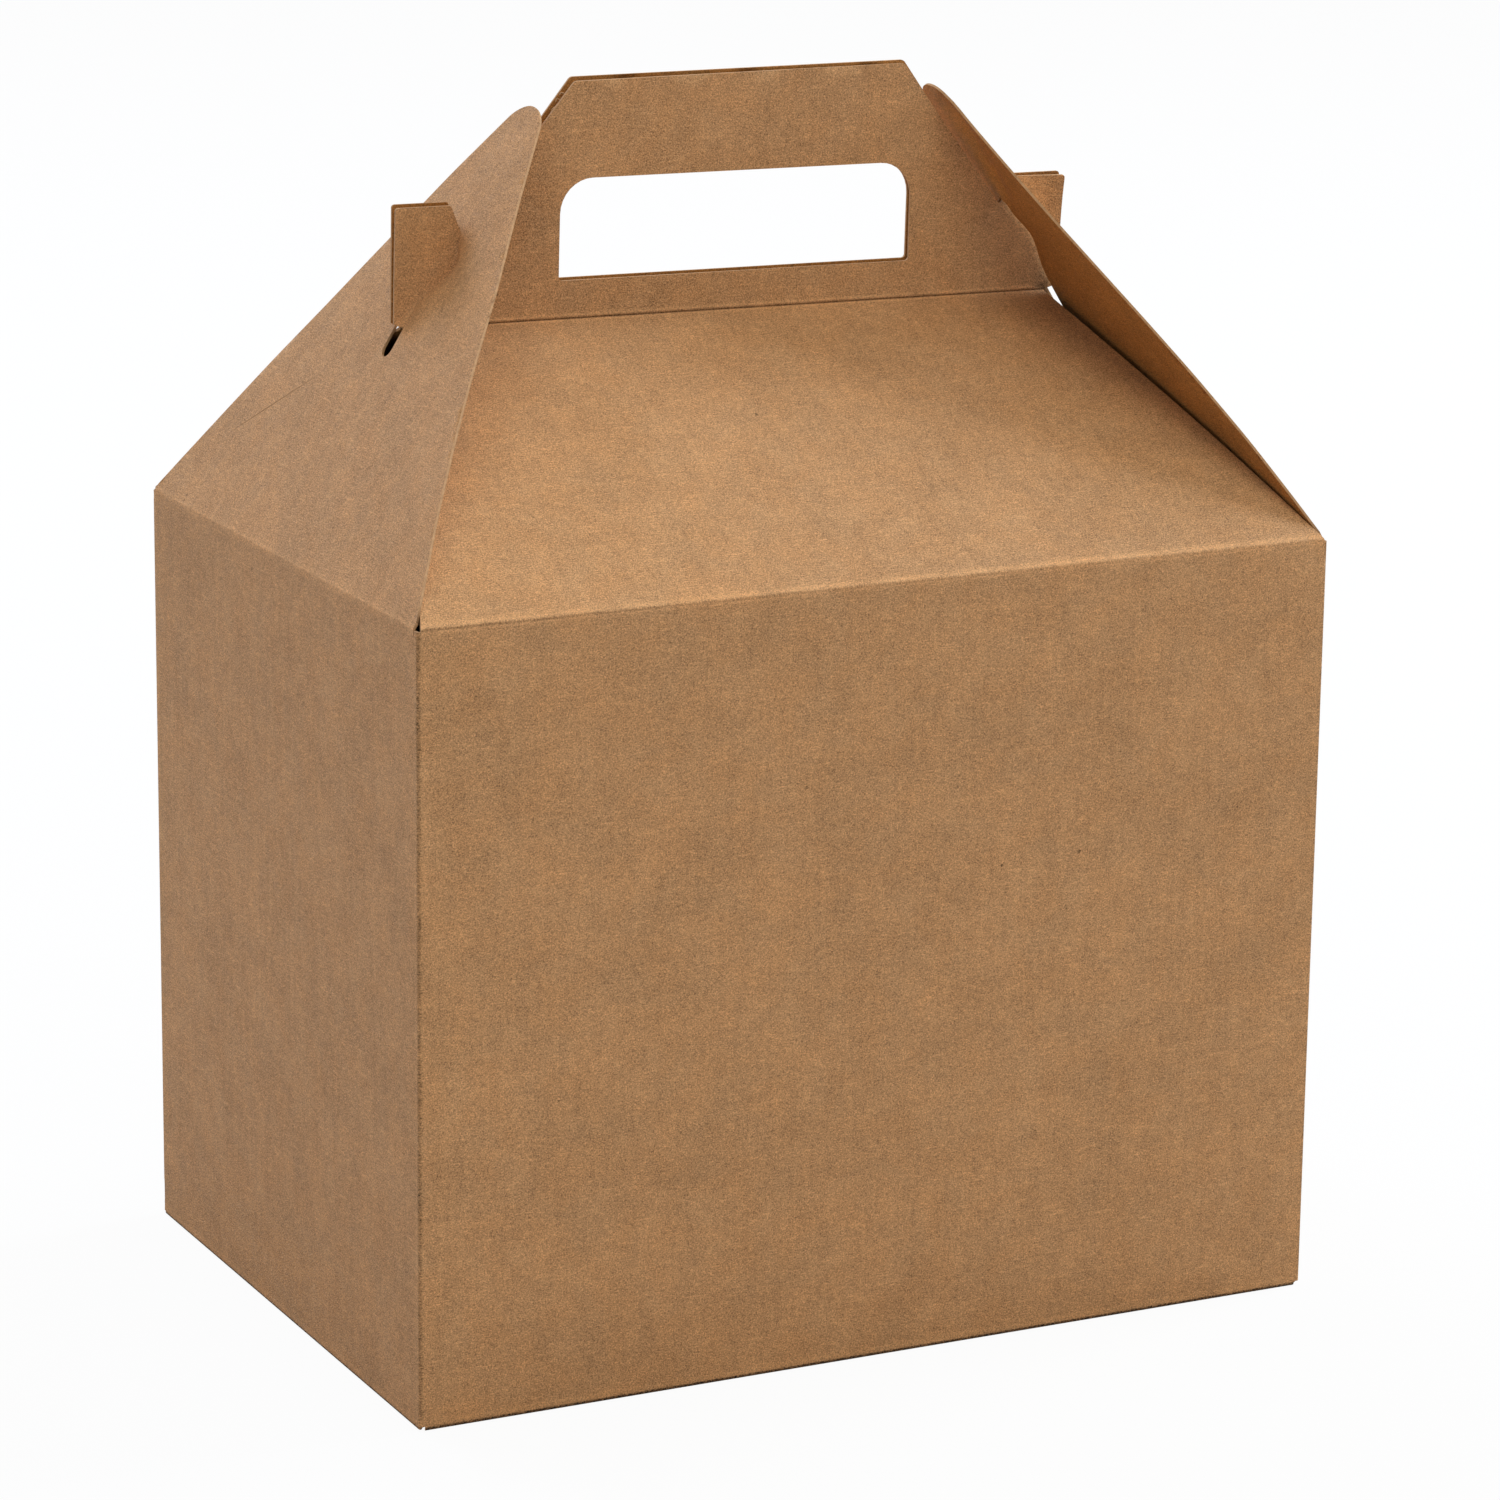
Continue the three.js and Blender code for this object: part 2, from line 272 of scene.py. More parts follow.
def boardObject(name, flat, fold, materials, tone=None, relief=None):   # folds a flat sheet and thickens it
    points, faces = flat
    nudge = 0.01
    middle = fold(points)
    acrossStep = fold(points + [nudge, 0]) - fold(points - [nudge, 0])
    upStep = fold(points + [0, nudge]) - fold(points - [0, nudge])
    normal = np.cross(acrossStep, upStep)
    normal /= np.linalg.norm(normal, axis=1, keepdims=True)
    raised = np.zeros(len(points)) if relief is None else relief(points)
    outer = middle + normal * (carton["board"] / 2 + raised[:, None])
    inner = middle - normal * carton["board"] / 2
    count = len(points)
    edges = {edge: True for a, b, c in faces for edge in ((a, b), (b, c), (c, a))}
    rim = [edge for edge in edges if (edge[1], edge[0]) not in edges]
    polygons = [tuple(face) for face in faces]
    polygons += [tuple(count + i for i in reversed(face)) for face in faces]
    polygons += [(b, a, count + a, count + b) for a, b in rim]
    mesh = bpy.data.meshes.new(name)
    corners = (np.concatenate([outer, inner]) * mm).tolist()
    mesh.from_pydata(corners, [], [list(map(int, p)) for p in polygons])
    for material in materials:
        mesh.materials.append(material)
    sideOf = np.array([0] * len(faces) + [1] * len(faces) + [2] * len(rim), np.int32)
    mesh.polygons.foreach_set("material_index", sideOf)
    mesh.polygons.foreach_set("use_smooth", np.ones(len(polygons), bool))
    sharp = {frozenset(edge) for edge in rim} | {frozenset((count + a, count + b)) for a, b in rim}
    for edge in mesh.edges:
        edge.use_edge_sharp = frozenset(edge.vertices) in sharp
    layer = mesh.uv_layers.new(name="flat")
    used = np.zeros(len(mesh.loops), np.int32)
    mesh.loops.foreach_get("vertex_index", used)
    layer.data.foreach_set("uv", (points[used % count] / 100).astype(np.float32).ravel())
    # per-point tone: pale stretched fibres at the folds, with painted shade, painted light and painted
    # shadow
    attribute = mesh.attributes.new("foldWearAndPaintedLight", "FLOAT", "POINT")
    shading = np.zeros(count) if tone is None else tone(points)
    attribute.data.foreach_set("value", np.tile(shading, 2).astype(np.float32))
    mesh.update()
    piece = bpy.data.objects.new(name, mesh)
    scene.collection.objects.link(piece)
    return piece


# Kraft board

kraft = {
    "color": (0.524, 0.289, 0.131),
    # the inner faces: a darker, redder copy of the board's colour, painted shade and bounce light from
    # inside the box
    "innerShadedColor": (0.44, 0.20, 0.055),
    "roughness": 0.82,
    "shine": 0.25,
    "bump": 0.35,
    "bumpDepth": 0.0004,
    "tint": (0.6, -0.1, -1.0),  # a shift of the colour, towards red and away from blue
}
layers = {   # each noise: scale, detail and distortion, the range that counts and its span each way
    "blotch": (4, 2, 0.0, 0.35, 0.65, 0.045),
    "patch": (13, 3, 0.6, 0.35, 0.65, 0.05),
    "mottle": (65, 3, 1.2, 0.30, 0.70, 0.12),
    "grain": (280, 3, 0.8, 0.30, 0.70, 0.50),
    "streak": (7, 3, 0.0, 0.35, 0.65, 0.035),
    "hue": (9, 3, 0.5, 0.35, 0.65, 0.028),
    "rough": (60, 3, 0.0, 0.30, 0.70, 0.07),
}
streakStretch = (7, 0.5, 1)
marks = {   # pale fibres that lie two ways
    "scale": 42,
    "detail": 2,
    "stretch": (0.4, 3.5, 1),
    "turns": (0.45, -0.8),
    "distortion": 1.0,
    "range": (0.60, 0.74),
    "paler": 0.22,
}
specks = {
    "scale": 9.0,
    "rarity": 0.75,             # the share of the places that have none
    "radius": 0.05,
    "darker": 0.45,
}
cut = {
    "color": (0.50, 0.30, 0.155),
    "roughness": 0.9,
    "shine": 0.15,
    "scale": 900.0,
    "detail": 3.0,
    "range": (0.3, 0.7),
    "strength": (0.82, 1.15),
    "bump": 0.4,
    "bumpDepth": 0.0003,
}


def addNode(tree, kind, inputs=None, **settings):
    node = tree.nodes.new("ShaderNode" + kind)
    for key, value in settings.items():
        setattr(node, key, value)
    for key, value in (inputs or {}).items():
        if isinstance(value, bpy.types.NodeSocket):
            tree.links.new(value, node.inputs[key])
        else:
            node.inputs[key].default_value = value
    return node


def mapRange(tree, value, low, high, start, end):
    return addNode(tree, "MapRange", {
        "Value": value, "From Min": low, "From Max": high, "To Min": start, "To Max": end}).outputs[0]


def kraftBoard(name, color):
    material = bpy.data.materials.new(name)
    material.use_nodes = True
    tree = material.node_tree
    tree.nodes.clear()
    output = addNode(tree, "OutputMaterial")
    shader = addNode(tree, "BsdfPrincipled", {
        "Roughness": kraft["roughness"], "Specular IOR Level": kraft["shine"]})
    tree.links.new(shader.outputs["BSDF"], output.inputs["Surface"])
    uv = addNode(tree, "TexCoord").outputs["UV"]

    def noise(scale, detail, stretch=(1, 1, 1), turn=0.0, distortion=0.0):
        placed = addNode(tree, "Mapping", {"Vector": uv, "Scale": stretch, "Rotation": (0, 0, turn)})
        made = addNode(tree, "TexNoise", {
            "Vector": placed.outputs[0], "Scale": scale, "Detail": detail, "Distortion": distortion})
        return made.outputs["Fac"]

    def layer(key, stretch=(1, 1, 1)):
        scale, detail, distortion, low, high, span = layers[key]
        return mapRange(tree, noise(scale, detail, stretch, 0.0, distortion), low, high, -span, span)

    def marksAt(turn):
        return noise(marks["scale"], marks["detail"], marks["stretch"], turn, marks["distortion"])

    def add(a, b):
        return addNode(tree, "Math", {0: a, 1: b}, operation="ADD").outputs[0]

    blotch, patchy, mottle, grain = (layer(key) for key in ("blotch", "patch", "mottle", "grain"))
    streak = layer("streak", streakStretch)
    oneWay, otherWay = (marksAt(turn) for turn in marks["turns"])
    either = addNode(tree, "Math", {0: oneWay, 1: otherWay}, operation="MAXIMUM").outputs[0]
    fibre = mapRange(tree, either, *marks["range"], 0.0, marks["paler"])
    speckle = addNode(tree, "TexVoronoi", {"Vector": uv, "Scale": specks["scale"], "Randomness": 1.0})
    size = addNode(tree, "SeparateColor", {"Color": speckle.outputs["Color"]}).outputs[0]
    radius = mapRange(tree, size, specks["rarity"], 1.0, 0.0, specks["radius"])
    near = speckle.outputs["Distance"]
    speck = addNode(tree, "Math", {0: near, 1: radius}, operation="LESS_THAN").outputs[0]
    dark = addNode(tree, "Math", {0: speck, 1: -specks["darker"]}, operation="MULTIPLY").outputs[0]
    # the baked tone, partly painted light and shade, scales the board's colour
    tone = addNode(tree, "Attribute", attribute_name="foldWearAndPaintedLight").outputs["Fac"]
    total = add(add(add(blotch, patchy), add(mottle, grain)), add(add(streak, fibre), add(dark, tone)))
    strength = add(total, 1.0)
    hue = layer("hue")
    tinted = addNode(tree, "VectorMath", {0: kraft["tint"], "Scale": hue}, operation="SCALE").outputs[0]
    tint = addNode(tree, "VectorMath", {0: tinted, 1: (1, 1, 1)}, operation="ADD").outputs[0]
    plain = addNode(tree, "VectorMath", {0: color, "Scale": strength}, operation="SCALE").outputs[0]
    scaled = addNode(tree, "VectorMath", {0: plain, 1: tint}, operation="MULTIPLY").outputs[0]
    tree.links.new(scaled, shader.inputs["Base Color"])
    height = add(add(mottle, grain), fibre)
    bumps = addNode(tree, "Bump", {
        "Height": height, "Strength": kraft["bump"], "Distance": kraft["bumpDepth"]})
    tree.links.new(bumps.outputs["Normal"], shader.inputs["Normal"])
    tree.links.new(add(layer("rough"), kraft["roughness"]), shader.inputs["Roughness"])
    return material


def cutEdge():   # the pale, fibrous cut through the board
    material = bpy.data.materials.new("cutEdge")
    material.use_nodes = True
    tree = material.node_tree
    shader = tree.nodes["Principled BSDF"]
    shader.inputs["Roughness"].default_value = cut["roughness"]
    shader.inputs["Specular IOR Level"].default_value = cut["shine"]
    place = addNode(tree, "TexCoord").outputs["Object"]
    grain = addNode(tree, "TexNoise", {
        "Vector": place, "Scale": cut["scale"], "Detail": cut["detail"]}).outputs["Fac"]
    strength = mapRange(tree, grain, *cut["range"], *cut["strength"])
    color = cut["color"]
    scaled = addNode(tree, "VectorMath", {0: color, "Scale": strength}, operation="SCALE").outputs[0]
    tree.links.new(scaled, shader.inputs["Base Color"])
    bumps = addNode(tree, "Bump", {
        "Height": grain, "Strength": cut["bump"], "Distance": cut["bumpDepth"]})
    tree.links.new(bumps.outputs["Normal"], shader.inputs["Normal"])
    return material


boardMaterials = [
    kraftBoard("kraftOuter", kraft["color"]),
    kraftBoard("kraftInnerShaded", kraft["innerShadedColor"]),
    cutEdge(),
]
print("board materials made")


# The carton's flat blank: p runs round the walls from the lap's free edge, s runs up from the ground

bottom = {
    "layer": 0.9,               # rise from one bottom flap to the next
    "ramp": 4.0,
    "inset": 6.0,
    "mitre": 4.3,               # slope from the end of a bottom fold to that inset
    "mitreStart": 0.3,          # this far in from the fold
    "tongueWidth": 100.0,
    "tongueLength": 30.0,
    "tongueRamp": 10.0,
    "tongueTaper": 6.0,
    "recessClearance": 4.0,
    "recessDepth": 8.0,
    "legLength": 34.0,
    "legTaper": 12.0,
    "dustFlapLength": 70.0,
    "dustFlapSlant": 26.0,
    "radius": 3.0,
    "start": 20.0,              # height where a wall's own bottom line starts
}
lap = {"width": 18.0, "setback": 7.0, "end": 8.0, "topCut": 0.5, "gap": 0.05}

ringLine = foldedLine([
    (lap["width"] - middleX, middleY - carton["board"] - lap["gap"]),
    (-middleX, middleY - carton["board"] - lap["gap"]),
    (-middleX, -middleY),
    (middleX, -middleY),
    (middleX, middleY),
    (carton["board"] * 0.6 - middleX, middleY),
], carton["foldRadius"])


def lengthAt(line, axis, value, after):
    chosen = line["length"] >= after
    return float(np.interp(value, line["at"][chosen, axis], line["length"][chosen]))


lapFold, leftFold, rightFold, backFold = ringLine["folds"]
frontMiddle = (leftFold[-1] + rightFold[0]) / 2
walls = {   # middle of each wall along the ring, its place, the way round and the way in
    "left": ((lapFold[-1] + leftFold[0]) / 2, (-middleX, 0), (0, -1), (1, 0)),
    "front": (frontMiddle, (0, -middleY), (1, 0), (0, 1)),
    "right": ((rightFold[-1] + backFold[0]) / 2, (middleX, 0), (0, 1), (-1, 0)),
    "back": (backFold[-1] + middleX - carton["foldRadius"], (0, middleY), (-1, 0), (0, -1)),
}


def downLine(*points):
    start = [(0, bottom["start"]), (0, carton["board"] / 2)]
    return foldedLine(start + list(points), carton["foldRadius"])


def layerHeight(layer):
    return carton["board"] / 2 + layer * bottom["layer"]


tongueEdge = middleY - bottom["tongueRamp"] / 2
bottomLines = {
    "front": downLine(
        (tongueEdge, layerHeight(0)),
        (tongueEdge + bottom["tongueRamp"], layerHeight(3)),
        (tongueEdge + bottom["tongueRamp"] + bottom["tongueLength"], layerHeight(3))),
    "back": downLine((bottom["ramp"], layerHeight(2)), (middleY + bottom["legLength"], layerHeight(2))),
    "left": downLine((bottom["ramp"], layerHeight(1)), (bottom["dustFlapLength"], layerHeight(1))),
}
bottomLines["right"] = bottomLines["left"]


def roofLine():
    reach = middleY - handleMiddle
    return foldedLine([
        (0, bottom["start"]),
        (0, carton["wallHeight"]),
        (reach, creaseHeight),
        (reach, creaseHeight + carton["backTop"][0])], carton["foldRadius"])


roofLines = {"front": roofLine(), "back": roofLine()}
topFold = bottom["start"] + roofLines["front"]["folds"][0]
creaseFold = bottom["start"] + roofLines["front"]["folds"][1]
bottomFold = bottom["start"] - bottomLines["front"]["folds"][0]
flatCrease = float(creaseFold.mean())
flatTop = float(topFold.mean())
sideTop = carton["wallHeight"] - carton["creaseStrip"]
roofStart = flatTop - 6        # the roof's line takes over from the wall's here


def wallPoint(name, sideways, up):
    return (walls[name][0] + sideways, up, 0)


def bottomCorners(name, corners):   # corners of a bottom flap as (sideways, inward, radius), from the left
    line = bottomLines[name]
    start = line["folds"][0][-1]
    return [(walls[name][0] + a, bottom["start"] - lengthAt(line, 0, d, start), r) for a, d, r in corners]


def tongueOutline():
    side = carton["halfWidth"] - bottom["inset"]
    half = bottom["tongueWidth"] / 2
    tip = tongueEdge + bottom["tongueRamp"] + bottom["tongueLength"]
    right = [
        (half - bottom["tongueTaper"], tip, 3 * bottom["radius"]),
        (half, tongueEdge, 0),
        (half + bottom["tongueTaper"], tongueEdge - carton["board"], bottom["radius"]),
        (side, tongueEdge - bottom["dustFlapSlant"], bottom["radius"]),
        (side, bottom["mitre"], 0),
        (side + bottom["mitre"], bottom["mitreStart"], 0),
    ]
    left = [(-a, d, r) for a, d, r in reversed(right)]
    return bottomCorners("front", left + right)


def recessOutline():
    side = carton["halfWidth"] - bottom["inset"]
    recess = bottom["tongueWidth"] / 2 + bottom["recessClearance"]
    edge = middleY - bottom["recessDepth"]
    tip = middleY + bottom["legLength"]
    right = [
        (recess, edge, bottom["radius"]),
        (recess + bottom["legTaper"], tip, bottom["radius"]),
        (side - bottom["legTaper"], tip, bottom["radius"]),
        (side, edge, 0),
        (side, bottom["mitre"], 0),
        (side + bottom["mitre"], bottom["mitreStart"], 0),
    ]
    left = [(-a, d, r) for a, d, r in reversed(right)]
    return bottomCorners("back", left + right)


def dustOutline(name, sign):   # sign is +1 where the way round runs towards the back wall
    foot = carton["halfDepth"] - bottom["inset"]
    tip = bottom["dustFlapLength"]
    corners = [
        (-sign * (foot + bottom["mitre"]), bottom["mitreStart"], 0),
        (-sign * foot, bottom["mitre"], 0),
        (sign * (foot - bottom["dustFlapLength"] - 2 * bottom["dustFlapSlant"]), tip, bottom["radius"]),
        (sign * (foot - bottom["dustFlapSlant"]), tip, bottom["radius"]),
        (sign * foot, bottom["mitre"], 0),
        (sign * (foot + bottom["mitre"]), bottom["mitreStart"], 0),
    ]
    return bottomCorners(name, corners if sign > 0 else corners[::-1])


def roofOutline(name):   # roof panel and handle panel, from the right edge to the left as seen from outside
    hook = flatCrease + carton[name + "HookHeight"]
    corners = [
        (carton["roofFootWidth"] / 2, flatTop, 0),
        (carton["creaseWidth"] / 2, flatCrease, 0),
        (carton["hookOuterSpan"] / 2, flatCrease + carton["hookFoot"], carton["hookFootRadius"]),
        (carton["hookOuterSpan"] / 2, hook, carton["hookRadius"]),
        (carton["hookInnerSpan"] / 2, hook, carton["hookRadius"]),
        (carton["notchSpan"] / 2, flatCrease + carton["notchHeight"], carton["hookRadius"]),
    ]
    left, right = carton[name + "Top"]
    if name == "back":
        left, right = right, left
    half, radius = carton["handleTopWidth"] / 2, carton["handleRadius"]
    top = [(half, flatCrease + right, radius), (-half, flatCrease + left, radius)]
    both = mirrored(corners)
    both = both[:len(corners)] + top + both[len(corners):]
    trimmed, way = (1, -1) if name == "front" else (-2, 1)
    both[trimmed] = (both[trimmed][0] + way * carton["creaseTrim"], both[trimmed][1], 0)
    return [(walls[name][0] + a, s, r) for a, s, r in both]


def handHole(name):
    sill = flatCrease + carton[name + "Sill"]
    corners = [
        (carton["holeWidth"] / 2, sill, carton["holeBottomRadius"]),
        (carton["holeWidth"] / 2, sill + carton["holeHeight"], carton["holeTopRadius"]),
    ]
    return roundedOutline([(walls[name][0] + a, s, r) for a, s, r in mirrored(corners)], 8)


def blankOutline():
    low = float(bottomFold[0]) + carton["footCut"]
    foot = carton["roofFootWidth"] / 2
    slitTop = float(flatTop) - carton["reliefHeight"]
    lapStart, lapEnd = 0.0, float(lapFold.mean())
    edgeEnd = ringLine["end"]
    corners = [(lapStart, lap["end"] + lap["setback"], 0), (lapEnd, lap["end"], 0), (lapEnd, low, 0)]
    for name, outline in (
            ("left", dustOutline("left", -1)), ("front", tongueOutline()),
            ("right", dustOutline("right", 1)), ("back", recessOutline())):
        corners += [(outline[0][0], low, 0)] + outline + [(outline[-1][0], low, 0)]
    corners += [(edgeEnd, low, 0), (edgeEnd, slitTop, 0)]
    corners += [wallPoint("back", foot, slitTop)]
    corners += roofOutline("back")
    corners += [wallPoint("back", -foot, slitTop)]
    for name in ("right", "left"):   # the side walls, lower where the crease of an end flap takes over
        if name == "left":
            corners += [wallPoint("front", foot, slitTop)]
            corners += roofOutline("front")
            corners += [wallPoint("front", -foot, slitTop)]
        middle, post = walls[name][0], flapCreaseHalf() + carton["postGap"]
        edge = middleY - carton["slitWidth"]
        corners += [(middle + edge, slitTop, 0), (middle + post, slitTop, 0), (middle + post, sideTop, 0)]
        corners += [(middle - post, sideTop, 0), (middle - post, slitTop, 0), (middle - edge, slitTop, 0)]
    corners += [(lapEnd, slitTop, 0), (lapEnd, sideTop, 0)]
    corners += [(lapEnd, sideTop - lap["topCut"], 0), (lapStart, sideTop - lap["setback"], 0)]
    return roundedOutline(corners)


warp = {
    "wallBulge": -0.12,
    "roofBulge": 0.7,
    "edgeBulge": 0.9,           # further bulge at the roof's sloping edges
    "tilt": 0.012,              # the handle leans to the right by this much, about a point on its crease
    "tiltAt": 20.0,
    "cornerBend": 2.0,          # how far the front hook's outer corner bends forward on the right
    "cornerAt": 96.0,
    "cornerWidth": 7.0,
    "hookHeight": 31.0,
    "leanHeight": 62.0,         # height at which the handle panels lean forward by the amounts below
    "frontLean": (1.075, -0.0114),   # at the middle, and more for each millimetre to the right
    "backLean": (1.15, 0.010),
    "out": (0.5, 0.85),         # way that the roof bulges, outwards and up
}


def bump(distance, width):
    return np.exp(-(distance / width) ** 2)


def foldBlank(points):
    p, s = points[:, 0], points[:, 1]
    x, y = along(ringLine, p)
    z = s.copy()
    place = np.stack([x, y, z], 1)
    for name, (middle, (cx, cy), way, inward) in walls.items():
        sideways = p - middle
        half = middleX if way[0] else middleY
        near = np.abs(sideways) < half
        low = near & (s < bottom["start"])
        depth, height = along(bottomLines[name], bottom["start"] - s[low])
        place[low, 0] = x[low] + inward[0] * depth
        place[low, 1] = y[low] + inward[1] * depth
        place[low, 2] = height
        if name in roofLines:
            high = near & (s > roofStart)
            depth, height = along(roofLines[name], s[high] - bottom["start"])
            a = sideways[high]
            aboveCrease = np.clip(s[high] - flatCrease, 0, None)
            share = aboveCrease / warp["leanHeight"]
            atMiddle, toRight = warp[name + "Lean"]
            roofShare = np.clip((s[high] - flatTop) / (flatCrease - flatTop), 0, 1)
            bulge = (warp["roofBulge"] + warp["edgeBulge"] * (a / half) ** 2) * np.sin(math.pi * roofShare)
            across = cx + way[0] * a
            lean = -share ** 2 * (atMiddle + toRight * across)
            if name == "front":
                corner = bump(across - warp["cornerAt"], warp["cornerWidth"])
                lean -= warp["cornerBend"] * corner * np.clip(aboveCrease / warp["hookHeight"], 0, 1) ** 3
            place[high, 0] = across + warp["tilt"] * roofShare * (height - creaseHeight)
            place[high, 1] = cy + inward[1] * (depth - bulge * warp["out"][0]) + lean
            drop = warp["tilt"] * roofShare * (across - warp["tiltAt"])
            place[high, 2] = height + bulge * warp["out"][1] - drop
    onWall = (s >= bottom["start"]) & (s <= roofStart)
    for middle, _, way, inward in walls.values():
        sideways = p - middle
        half = middleX if way[0] else middleY
        near = onWall & (np.abs(sideways) < half)
        share = (s[near] - bottom["start"]) / (roofStart - bottom["start"])
        bulge = warp["wallBulge"] * np.sin(math.pi * share) * np.cos(sideways[near] / half * math.pi / 2)
        place[near, 0] -= inward[0] * bulge
        place[near, 1] -= inward[1] * bulge
    return place


foldSteps = (0.55, 0.75, 1.0, 1.3, 1.8, 2.6, 3.6)   # rows of the mesh on both sides of a fold


def wavy(at, period, seed):   # smooth waves between about -1 and 1
    random = np.random.default_rng(seed)
    waves = [np.sin(at * 2 * math.pi / (period * stretch) + random.uniform(0, 6.3))
             for stretch in (1.0, 0.61, 0.37, 0.23)]
    return sum(wave * share for wave, share in zip(waves, (0.4, 0.3, 0.2, 0.15)))


tones = {   # how much paler or darker than the board, how far from the fold and how wide
    "roofBand": (0.16, 0.9, 0.8),
    "wallBand": (0.16, -0.75, 0.3),
    "wallLine": (-0.34, -0.1, 0.25),
    "creaseLips": (0.26, 1.0, 0.3),
    # painted shade in the concave crease, over crushed fibres
    "creaseCrushAndShade": (-0.58, 0.0, 0.36),
    # painted shade along the corner folds, over a crushed score
    "cornerCrushAndShade": (-0.30, 0.0, 0.35),
    "cornerBands": (0.05, 1.3, 0.6),
    "footBand": (0.12, 1.6, 0.5),
    "flapFold": (0.12, 0.0, 0.7),
}
patches = {   # soft patches: strength, then place and width to the right, then above the crease
    "besideRightSlot": (0.16, (84, 6), (16, 9)),
    # painted shadow of the left end flap on the handle
    "leftFlapShadow": (-0.12, (-62, 10), (26, 14)),
}
shades = {
    "roofFuzz": 0.5,
    "lipRipple": 0.3077,
    "roofLightSlope": -0.07,         # painted light and shade: darker by this much at the roof's right end, paler at its left
    "roofFade": 40,
    "leftHookLight": (0.07, 84),     # painted light on the left hook: strength, and where it starts
    # painted shade on the right hook, the same way
    "rightHookShade": (-0.2, 88),
    "hookFade": 3,
    # painted shadow under the box's bottom edge
    "foot": -0.8,
    "footAbove": (0.75, 0.35),  # where the shade under the box ends, and its fade
    "footBelow": (3.5, 2),
}


def band(name, distance):
    strength, place, width = tones[name]
    return strength * bump(distance - place, width)


def patch(name, right, up):
    strength, (place, width), (height, reach) = patches[name]
    return strength * bump(right - place, width) * bump(up - height, reach)


def blankTone(points):   # pale bands of stretched fibres and dark lines along the folds, with painted shade in the crease and corners, and painted light, shade and shadow on the roof, the hooks, beside the left flap and under the box
    p, s = points[:, 0], points[:, 1]
    tone = np.zeros(len(p))
    for name in roofLines:
        a = p - walls[name][0]
        near = np.abs(a) < middleX - 1
        above = s - flatCrease
        toRight = np.clip(a / middleX * 0.5 + 0.5, 0, 1)
        fuzz = 1 + shades["roofFuzz"] * wavy(p, 23, 3)
        tone += near * (1 + toRight) * fuzz * band("roofBand", s - flatTop)
        tone += near * band("wallBand", s - flatTop)
        tone += near * np.clip(1 - 2 * toRight, 0.05, 1) * band("wallLine", s - flatTop)
        ripple = 1 + shades["lipRipple"] * wavy(p, 31, 5)
        tone += near * ripple * band("creaseLips", np.abs(above))
        # painted shade in the crease, over crushed fibres
        tone += near * band("creaseCrushAndShade", above)
        worldRight = a if name == "front" else -a
        onRoof = near * (s > flatTop) * (above < 0) * np.clip(-above / shades["roofFade"], 0, 1)
        # painted light and shade across the roof, paler on the left, darker on the right
        tone += shades["roofLightSlope"] * onRoof * worldRight / middleX
        onHandle = near * (above > 0)
        # painted light on the left hook and painted shade on the right hook
        for side, key in ((-1, "leftHookLight"), (1, "rightHookShade")):
            strength, start = shades[key]
            tone += strength * onHandle * np.clip((side * worldRight - start) / shades["hookFade"], 0, 1)
        tone += near * patch("besideRightSlot", worldRight, above)
        # painted shadow of the left end flap on the handle
        tone += onHandle * patch("leftFlapShadow", worldRight, above)
    onWalls = (s > 4) & (s < flatTop)
    for fold in (leftFold, rightFold, backFold, lapFold):
        away = p - fold.mean()
        # painted shade along each corner fold, over a crushed score, with pale bands beside it
        tone += onWalls * (band("cornerCrushAndShade", away) + band("cornerBands", np.abs(away)))
    overFoot = s - float(bottomFold.mean())
    (above, fadeAbove), (below, fadeBelow) = shades["footAbove"], shades["footBelow"]
    # painted shadow on the underside of the bottom fold, where the box meets the floor
    underShadow = np.clip((above - overFoot) / fadeAbove, 0, 1) * np.clip((overFoot + below) / fadeBelow, 0, 1)
    tone += shades["foot"] * underShadow
    tone += band("footBand", overFoot)
    return tone


scoring = {
    "lip": 0.10,
    "lipWaves": 0.06,
    "lipAt": 0.8,
    "lipWidth": 0.3,
    "groove": 0.2,
    "grooveWidth": 0.25,
    "waves": 0.05,
    "waveDrop": 1.6,
    "waveWidth": 1.2,
}


def blankRelief(points):   # scored grooves with raised lips along the creases of the handle
    p, s = points[:, 0], points[:, 1]
    raised = np.zeros(len(p))
    for name in roofLines:
        near = np.abs(p - walls[name][0]) < middleX - 1
        lip = scoring["lip"] + scoring["lipWaves"] * wavy(p, 27, 7)
        raised += near * lip * bump(np.abs(s - flatCrease) - scoring["lipAt"], scoring["lipWidth"])
        raised -= near * scoring["groove"] * bump(s - flatCrease, scoring["grooveWidth"])
        waves = scoring["waves"] * (wavy(p, 19, 9) - scoring["waveDrop"])
        raised += near * waves * bump(s - flatTop, scoring["waveWidth"])
    return raised


def makeCarton():
    def spread(fold):
        middle = float(np.mean(fold))
        return [*map(float, fold), *(middle + side * away for away in foldSteps for side in (-1, 1))]

    columns = [c for fold in (lapFold, leftFold, rightFold, backFold) for c in spread(fold)]
    rows = [r for fold in (topFold, creaseFold, bottomFold) for r in spread(fold)]
    rows += [bottom["start"], roofStart]
    for line in (bottomLines["front"], bottomLines["back"], bottomLines["left"]):
        rows += [float(bottom["start"] - length) for fold in line["folds"][1:] for length in fold]
    outlines = [blankOutline(), handHole("front"), handHole("back")]
    flat = flatMesh(outlines, carton["step"], columns, rows)
    piece = boardObject("carton", flat, foldBlank, boardMaterials, blankTone, blankRelief)
    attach(piece, "box")
    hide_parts("body")
    return piece


# End flaps: u runs up the slope from the fold, v across it

